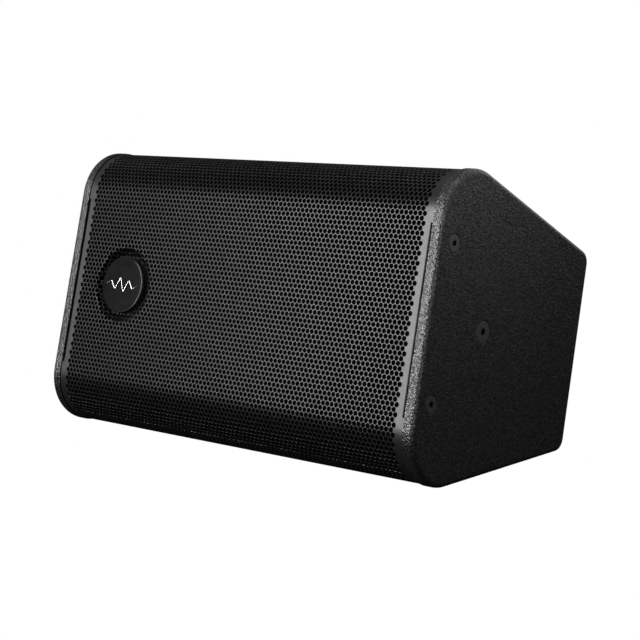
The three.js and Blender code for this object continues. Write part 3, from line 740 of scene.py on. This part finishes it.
def grille_sheet():
    sheet = Sheet()
    row_step = HOLE_PITCH * math.sqrt(3) / 2
    reach = HOLE_PITCH / math.sqrt(3)
    rows = range(-HOLE_ROWS, HOLE_ROWS + 1)
    outer = {}
    for row in rows:
        count = HOLES_IN_LONG_ROW - (row + 1) % 2
        outer[row] = (count - 1) * HOLE_PITCH / 2
        for i in range(count):
            x = -outer[row] + i * HOLE_PITCH
            s = row * row_step
            hidden = math.hypot(x - BADGE_X, s) < BADGE_RADIUS - 5
            sheet.cell(x, s, not hidden)

    # The plain margins at the two sides, folded back along the flat part.
    fold = [(FOLD_EDGE - FOLD_RADIUS - 0.6, 0.0), (FOLD_EDGE - FOLD_RADIUS, 0.0)]
    for i in range(1, 6):
        angle = math.pi / 2 * i / 5
        fold.append(
            (
                FOLD_EDGE - FOLD_RADIUS * (1 - math.sin(angle)),
                FOLD_RADIUS * (1 - math.cos(angle)),
            )
        )
    fold.append((FOLD_EDGE, FLANGE_DEPTH))
    end = (ARC_Z + (math.pi - TANGENT) * (FRONT_RADIUS - GRILLE_INSET)) + 7.5
    plain = [
        (SHEET_EDGE - 0.7, 0.0),
        (SHEET_EDGE - 0.15, 0.0),
        (SHEET_EDGE, 0.15),
        (SHEET_EDGE, SHEET),
    ]
    for side in (-1, 1):
        stations = [-end]
        edge_points = [sheet.corner(side * (outer[rows[0]] + 2.5), -end)]
        for row in rows:
            x = side * (outer[row] + HOLE_PITCH / 2)
            for s in (row * row_step - reach / 2, row * row_step + reach / 2):
                stations.append(s)
                edge_points.append(sheet.corner(x, s))
        stations.append(end)
        edge_points.append(sheet.corner(side * (outer[rows[-1]] + 2.5), end))
        for lowest, highest, profile in (
            (-end - 1, -FOLD_HALF + 0.1, plain),
            (-FOLD_HALF - 0.1, FOLD_HALF + 0.1, fold),
            (FOLD_HALF - 0.1, end + 1, plain),
        ):
            picked = [i for i, s in enumerate(stations) if lowest < s < highest]
            previous = [edge_points[i] for i in picked]
            for x, depth in profile:
                line = [sheet.corner(side * x, stations[i], depth) for i in picked]
                sheet.strip(previous, line)
                previous = line

    # The plain margins at the ends of the bends, with their cut edges.
    for sign in (-1, 1):
        row = sign * HOLE_ROWS
        s = row * row_step
        border = []
        count = HOLES_IN_LONG_ROW - (row + 1) % 2
        for i in range(count):
            x = -outer[row] + i * HOLE_PITCH
            border.append((x - HOLE_PITCH / 2, s + sign * reach / 2))
            border.append((x, s + sign * reach))
        border.append((outer[row] + HOLE_PITCH / 2, s + sign * reach / 2))
        inner_line = [sheet.corner(x, t) for x, t in border]
        edge_line = [sheet.corner(x, sign * end) for x, _ in border]
        cut_line = [sheet.corner(x, sign * end, SHEET) for x, _ in border]
        sheet.strip(inner_line, edge_line)
        sheet.strip(edge_line, cut_line)

    x, s, depth = np.array(sheet.points).T
    # Painted shade: the faces inside the holes take material 1, the near-black hole-wall material.
    spots = [0] * len(sheet.faces)
    for index in sheet.walls:
        spots[index] = 1
    mesh = mesh_of("grille", on_sheet(x, s, depth), sheet.faces, spots)
    grid = bmesh.new()
    grid.from_mesh(mesh)
    bmesh.ops.recalc_face_normals(grid, faces=grid.faces)
    grid.to_mesh(mesh)
    grid.free()
    return mesh


# The second material is the painted shade on the walls inside the holes.
piece(
    "grille_perforated",
    grille_sheet(),
    [COAT, HOLE_WALL_PAINTED_SHADE],
    replaces=["grille"],
    sharp=40.0,
)


# ------------------------------------------------------------------ badge
def badge_disc():
    floor = GRILLE_INSET + DISH_DEPTH
    profile = [
        (0.01, 0.6),
        (BADGE_RADIUS - 1.8, 0.6),
        (BADGE_RADIUS - 1.2, 0.6),
        (BADGE_RADIUS - 0.8, 0.67),
        (BADGE_RADIUS - 0.35, 0.94),
        (BADGE_RADIUS - 0.09, 1.35),
        (BADGE_RADIUS, 1.8),
        (BADGE_RADIUS, floor - 1.4),
        (BADGE_RADIUS - 0.4, floor - 1.2),
        (3.0, floor - 1.2),
        (3.0, floor + 6.0),
    ]
    rings = [circle(r, y, BADGE_X, count=96) for r, y in profile]
    return lofted("badge", rings)


def waveform_emblem():
    """A plain waveform line in raised bright metal."""
    heights = (0, 3.2, -4.6, 6.8, -6.8, 4.6, -3.2, 0)
    step = 6.2
    middle = (len(heights) - 1) / 2
    points = [((i - middle) * step, z) for i, z in enumerate(heights)]
    curve = bpy.data.curves.new("waveform", "CURVE")
    curve.dimensions = "3D"
    curve.bevel_depth = 0.6
    curve.bevel_resolution = 4
    curve.use_fill_caps = True
    line = curve.splines.new("BEZIER")
    line.bezier_points.add(len(points) - 1)
    for knot, (x, z) in zip(line.bezier_points, points):
        knot.co = (BADGE_X + x, 0.5, z)
        knot.handle_left = (BADGE_X + x - 0.9, 0.5, z)
        knot.handle_right = (BADGE_X + x + 0.9, 0.5, z)
    line.resolution_u = 10
    holder = bpy.data.objects.new("waveform", curve)
    bpy.context.scene.collection.objects.link(holder)
    bpy.context.view_layer.update()
    ready = holder.evaluated_get(bpy.context.evaluated_depsgraph_get())
    mesh = bpy.data.meshes.new_from_object(ready)
    bpy.data.objects.remove(holder)
    mesh.materials.clear()
    mesh.transform(to_model)
    return mesh


piece(
    "badge_disc_detailed",
    badge_disc(),
    [BADGE],
    body="badge",
    replaces=["badge_disc"],
)
piece(
    "badge_waveform",
    waveform_emblem(),
    [CHROME],
    body="badge",
    replaces=["badge_emblem"],
)

# ------------------------------------------------------------------ input plate and sockets
PLATE = {"half_x": 60.0, "half_z": 31.0, "sheet": 2.0, "screw_x": 53.0, "screw_z": 24.0}
FLANGE = {"half_x": 13.0, "half_z": 15.5, "proud": 2.0, "body": 11.8, "bore": 10.0}
SOCKET_LENGTH = 26.0
SEAT = DEPTH + 0.02  # what sits on the plate stays this far off its face
THROUGH_PLATE = (DEPTH - 4, DEPTH + 2)


def rounded_plate(size, front, edge):
    """Rings that round a plate's rear rim off."""
    rings = []
    for i in range(5):
        angle = math.pi / 2 * i / 4
        y = front - edge * (1 - math.sin(angle))
        rings.append(rounded_ring(*size, y, edge * (1 - math.cos(angle))))
    return rings


def input_plate():
    """Sheet steel plate with round corners, a rolled edge and holes."""
    size = (INPUT_X, PLATE["half_x"], PLATE["half_z"], 3.0)
    rings = [rounded_ring(*size, DEPTH - PLATE["sheet"])]
    rings += rounded_plate(size, DEPTH, 0.6)
    holes = [
        lofted("hole", [even_ring(FLANGE["body"] + 0.1, y, x) for y in THROUGH_PLATE])
        for x in SOCKET_X
    ]
    holes += [
        lofted("hole", [even_ring(2.3, y, x, z) for y in THROUGH_PLATE])
        for x, z in PLATE_SCREWS
    ]
    return boolean(lofted("input_plate", rings), *holes)


def speaker_socket(x):
    """Round locking socket with a square flange, key slots and a centre core."""
    front = SEAT + FLANGE["proud"]
    size = (x, FLANGE["half_x"], FLANGE["half_z"], 2.5)
    body, bore = FLANGE["body"], FLANGE["bore"]
    rings = [
        even_ring(body - 0.6, front - SOCKET_LENGTH, x),
        even_ring(body, front - SOCKET_LENGTH + 0.6, x),
        even_ring(body, SEAT, x),
        rounded_ring(*size, SEAT),
    ]
    rings += rounded_plate(size, front, 0.7)
    for radius, depth in (
        (body, 0.0),
        (body - 0.2, -0.7),
        (body - 0.5, -0.9),
        (bore + 0.5, -0.9),
        (bore + 0.1, -0.6),
        (bore, 0.0),
        (bore, 18.0),
        (6.6, 18.0),
        (6.6, 3.4),
        (6.1, 2.9),
        (2.4, 2.9),
        (2.1, 3.2),
        (2.1, 8.0),
    ):
        rings.append(even_ring(radius, front - depth, x))
    cutters = [
        slab(x - 1.9, x + 1.9, front - 15, front + 2, bore - 1, bore + 1.3),
        slab(x - 1.2, x + 1.2, front - 15, front + 2, -bore - 1.1, -bore + 1),
    ]
    for sx, sz in ((1, 0), (-1, 0), (0, 1), (0, -1)):
        cx, cz = x + 6.4 * sx, 6.4 * sz
        cutters.append(slab(cx - 0.9, cx + 0.9, front - 14, front - 1, cz - 0.9, cz + 0.9))
    for sx, sz in ((1, 1), (-1, -1)):
        place = (x + sx * 9.9, sz * 12.4)
        cone = ((1.0, front - 1.6), (2.3, front + 0.3))
        cutters.append(lofted("flange_hole", [even_ring(r, y, *place) for r, y in cone]))
    return boolean(lofted("socket", rings), *cutters)


def button_screw(x, z):
    """Button head with a hexagon socket."""
    rings = [even_ring(1.2, SEAT - 12.8, x, z), even_ring(1.7, SEAT - 12.2, x, z)]
    rings.append(even_ring(1.7, SEAT, x, z))
    for radius, height in ((3.55, 0.0), (3.6, 0.35), (3.35, 1.0), (2.75, 1.65), (2.0, 2.05)):
        rings.append(even_ring(radius, SEAT + height, x, z))
    for across, height in ((2.7, 2.12), (2.5, 1.95), (2.5, 0.6)):
        rings.append(even_ring(0, SEAT + height, x, z, across))
    return lofted("button_screw", rings)


PLATE_SCREWS = [
    (INPUT_X + sx * PLATE["screw_x"], sz * PLATE["screw_z"])
    for sx, sz in ((-1, 1), (1, 1), (1, -1), (-1, -1))
]
rear_pieces = [("input_plate", input_plate(), COAT)]
for word, x in zip(("in", "out"), SOCKET_X):
    rear_pieces.append((f"speaker_socket_{word}", speaker_socket(x), PLASTIC))
for number, (x, z) in enumerate(PLATE_SCREWS, 1):
    rear_pieces.append((f"input_plate_screw_{number}", button_screw(x, z), OXIDE))
slot_of = {
    entry["node"]: entry["material_slot"] for entry in frame["record"]["subparts"]
}
for name, mesh, material in rear_pieces:
    piece(f"{name}_detailed", mesh, [material], replaces=[name])

# ------------------------------------------------------------------ carried-over CAD nodes
for name, node in nodes.items():
    node.data.materials.clear()
    node.data.materials.append(SLOT_MATERIALS[slot_of[name]])

# ------------------------------------------------------------------ floor, light and camera
def stage_floor():
    mesh = bpy.data.meshes.new("floor")
    reach = 8.0
    corners = ((-reach, -reach), (reach, -reach), (reach, reach), (-reach, reach))
    mesh.from_pydata([(x, y, -0.0002) for x, y in corners], [], [(0, 1, 2, 3)])
    floor = bpy.data.objects.new("floor", mesh)
    bpy.context.scene.collection.objects.link(floor)
    material = bpy.data.materials.new("pale_floor")
    material.use_nodes = True
    tree = material.node_tree
    tree.nodes.clear()
    out = tree.nodes.new("ShaderNodeOutputMaterial")
    mix = tree.nodes.new("ShaderNodeMixShader")
    path = tree.nodes.new("ShaderNodeLightPath")
    pale = tree.nodes.new("ShaderNodeEmission")
    pale.inputs["Color"].default_value = (1, 1, 1, 1)
    dim = tree.nodes.new("ShaderNodeBsdfDiffuse")
    dim.inputs["Color"].default_value = (0.02, 0.02, 0.02, 1)
    tree.links.new(path.outputs["Is Camera Ray"], mix.inputs[0])
    tree.links.new(dim.outputs[0], mix.inputs[1])
    tree.links.new(pale.outputs[0], mix.inputs[2])
    tree.links.new(mix.outputs[0], out.inputs["Surface"])
    mesh.materials.append(material)


def studio_world():
    world = bpy.data.worlds.new("studio")
    bpy.context.scene.world = world
    world.use_nodes = True
    tree = world.node_tree
    tree.nodes.clear()
    out = tree.nodes.new("ShaderNodeOutputWorld")
    mix = tree.nodes.new("ShaderNodeMixShader")
    path = tree.nodes.new("ShaderNodeLightPath")
    for index, (colour, strength) in enumerate(((0.5, 0.04), (1.0, 1.0))):
        light = tree.nodes.new("ShaderNodeBackground")
        light.inputs["Color"].default_value = (colour, colour, colour, 1)
        light.inputs["Strength"].default_value = strength
        tree.links.new(light.outputs[0], mix.inputs[1 + index])
    tree.links.new(path.outputs["Is Camera Ray"], mix.inputs[0])
    tree.links.new(mix.outputs[0], out.inputs["Surface"])


def softbox(name, azimuth, elevation, distance, width, height, power, aim, glossy=True):
    """A rectangular area light. Azimuth 0 is in front of the grille, positive to the right."""
    data = bpy.data.lights.new(name, "AREA")
    data.shape = "RECTANGLE"
    data.size, data.size_y = width, height
    data.energy = power
    light = bpy.data.objects.new(name, data)
    light.visible_camera = False
    light.visible_glossy = glossy
    bpy.context.scene.collection.objects.link(light)
    a, e = math.radians(azimuth), math.radians(elevation)
    away = Vector(
        (math.sin(a) * math.cos(e), -math.cos(a) * math.cos(e), math.sin(e))
    )
    light.location = Vector(aim) + away * distance
    light.rotation_euler = away.to_track_quat("Z", "Y").to_euler()


def photo_camera():
    azimuth, elevation = math.radians(40.31), math.radians(5.04)
    data = bpy.data.cameras.new("camera")
    data.lens = 91.86
    data.sensor_width = 36
    data.shift_y = -0.15  # the photo's upright edges converge as a cropped, level shot's do
    camera = bpy.data.objects.new("camera", data)
    bpy.context.scene.collection.objects.link(camera)
    away = Vector(
        (
            math.sin(azimuth) * math.cos(elevation),
            -math.cos(azimuth) * math.cos(elevation),
            math.sin(elevation),
        )
    )
    camera.location = Vector((0.0018, 0.0098, 0.2082)) + away * 1.611
    camera.rotation_euler = away.to_track_quat("Z", "Y").to_euler()
    bpy.context.scene.camera = camera


stage_floor()
studio_world()
middle = (0.0, 0.0, 0.14)
softbox("front_left", -32, 17, 2.6, 0.9, 1.3, 45, middle)
softbox("front_right", 35, 17, 2.8, 0.9, 1.3, 10, middle)
softbox("overhead", 20, 78, 2.2, 1.4, 1.0, 6, middle)
softbox("right_near", 66, 45, 0.25, 0.2, 0.2, 1.55, (0.23, -0.02, 0.27), glossy=False)
softbox("left", -90, 25, 3.0, 2.4, 1.6, 5, middle)
softbox("rear", 180, 22, 3.0, 3.2, 2.0, 12, middle)
softbox("rear_low", 182, 9, 2.6, 1.6, 0.7, 45, middle, glossy=False)
photo_camera()
bpy.context.scene.view_settings.view_transform = "Standard"
